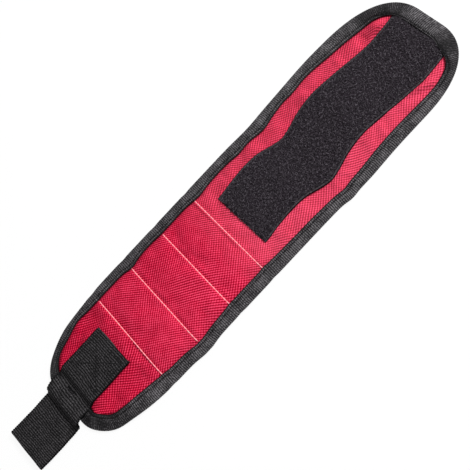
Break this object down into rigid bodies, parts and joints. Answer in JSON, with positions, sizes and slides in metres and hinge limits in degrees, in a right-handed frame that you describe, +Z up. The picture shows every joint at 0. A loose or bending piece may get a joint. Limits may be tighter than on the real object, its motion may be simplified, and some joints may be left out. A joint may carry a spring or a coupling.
{
  "type": "magnetic wristband",
  "caption": "Padded fabric wristband with sewn magnet pockets, bound edges, a loop patch and a webbing closing strap; holds small steel fasteners on the wrist.",
  "frame": {"origin": "middle of the underside of the band laid flat, tail included", "axes": "+X along the band to its free tip, +Y across it to the side that is far in the picture, +Z up out of its outer face"},
  "size_m": [0.345, 0.077, 0.0058],
  "materials": {
    "outer_fabric": "coarse woven polyester",
    "lining_mesh": "padded air mesh",
    "binding_tape": "ribbed grosgrain tape",
    "loop_pile": "loop pile",
    "webbing": "ribbed flat webbing",
    "hook_tape": "hook tape",
    "seam_thread": "pale sewing thread",
    "strap_thread": "black sewing thread",
    "magnet": "nickel plated"
  },
  "bodies": {
    "strap_tail": {"strap_tail": "webbing", "hook_tape": "hook_tape"},
    "tab_end": {"panel_tab": "outer_fabric", "lining_tab": "lining_mesh", "binding_tab": "binding_tape", "strap_base": "webbing", "box_stitch": "strap_thread"},
    "pocket_1": {"panel_pocket_1": "outer_fabric", "lining_pocket_1": "lining_mesh", "binding_far_pocket_1": "binding_tape", "binding_near_pocket_1": "binding_tape", "magnet_1_1": "magnet", "magnet_1_2": "magnet", "magnet_1_3": "magnet", "pocket_seam_1": "seam_thread"},
    "pocket_2": {"panel_pocket_2": "outer_fabric", "lining_pocket_2": "lining_mesh", "binding_far_pocket_2": "binding_tape", "binding_near_pocket_2": "binding_tape", "magnet_2_1": "magnet", "magnet_2_2": "magnet", "magnet_2_3": "magnet", "pocket_seam_2": "seam_thread"},
    "pocket_3": {"panel_pocket_3": "outer_fabric", "lining_pocket_3": "lining_mesh", "binding_far_pocket_3": "binding_tape", "binding_near_pocket_3": "binding_tape", "magnet_3_1": "magnet", "magnet_3_2": "magnet", "magnet_3_3": "magnet", "pocket_seam_3": "seam_thread"},
    "loop_1": {"panel_loop_1": "outer_fabric", "lining_loop_1": "lining_mesh", "binding_far_loop_1": "binding_tape", "binding_near_loop_1": "binding_tape", "patch_loop_1": "loop_pile", "pocket_seam_4": "seam_thread"},
    "loop_2": {"panel_loop_2": "outer_fabric", "lining_loop_2": "lining_mesh", "binding_far_loop_2": "binding_tape", "binding_near_loop_2": "binding_tape", "patch_loop_2": "loop_pile"},
    "loop_3": {"panel_loop_3": "outer_fabric", "lining_loop_3": "lining_mesh", "binding_far_loop_3": "binding_tape", "binding_near_loop_3": "binding_tape", "patch_loop_3": "loop_pile"},
    "loop_4": {"panel_loop_4": "outer_fabric", "lining_loop_4": "lining_mesh", "binding_far_loop_4": "binding_tape", "binding_near_loop_4": "binding_tape", "patch_loop_4": "loop_pile"},
    "loop_5": {"panel_loop_5": "outer_fabric", "lining_loop_5": "lining_mesh", "binding_loop_5": "binding_tape", "patch_loop_5": "loop_pile"}
  },
  "joints": [
    {"name": "tail_fold", "type": "hinge", "parent": "tab_end", "child": "strap_tail", "pos_m": [-0.1395, 0.002, 0.0058], "axis": [0, -1, 0], "range_deg": [-150, 84]},
    {"name": "tab_fold", "type": "hinge", "parent": "pocket_1", "child": "tab_end", "pos_m": [-0.0823, 0, 0.00215], "axis": [0, -1, 0], "range_deg": [-20, 79]},
    {"name": "pocket_1_fold", "type": "hinge", "parent": "pocket_2", "child": "pocket_1", "pos_m": [-0.0548, 0, 0.00215], "axis": [0, -1, 0], "range_deg": [-20, 47]},
    {"name": "pocket_3_fold", "type": "hinge", "parent": "pocket_2", "child": "pocket_3", "pos_m": [-0.0273, 0, 0.00215], "axis": [0, 1, 0], "range_deg": [-20, 47]},
    {"name": "loop_1_fold", "type": "hinge", "parent": "pocket_3", "child": "loop_1", "pos_m": [0.0002, 0, 0.00215], "axis": [0, 1, 0], "range_deg": [-20, 44]},
    {"name": "loop_2_fold", "type": "hinge", "parent": "loop_1", "child": "loop_2", "pos_m": [0.03466, 0, 0.00215], "axis": [0, 1, 0], "range_deg": [-20, 58]},
    {"name": "loop_3_fold", "type": "hinge", "parent": "loop_2", "child": "loop_3", "pos_m": [0.06912, 0, 0.00215], "axis": [0, 1, 0], "range_deg": [-20, 42]},
    {"name": "loop_4_fold", "type": "hinge", "parent": "loop_3", "child": "loop_4", "pos_m": [0.10358, 0, 0.00215], "axis": [0, 1, 0], "range_deg": [-20, 35]},
    {"name": "loop_5_fold", "type": "hinge", "parent": "loop_4", "child": "loop_5", "pos_m": [0.13804, 0, 0.00215], "axis": [0, 1, 0], "range_deg": [-20, 78]}
  ]
}
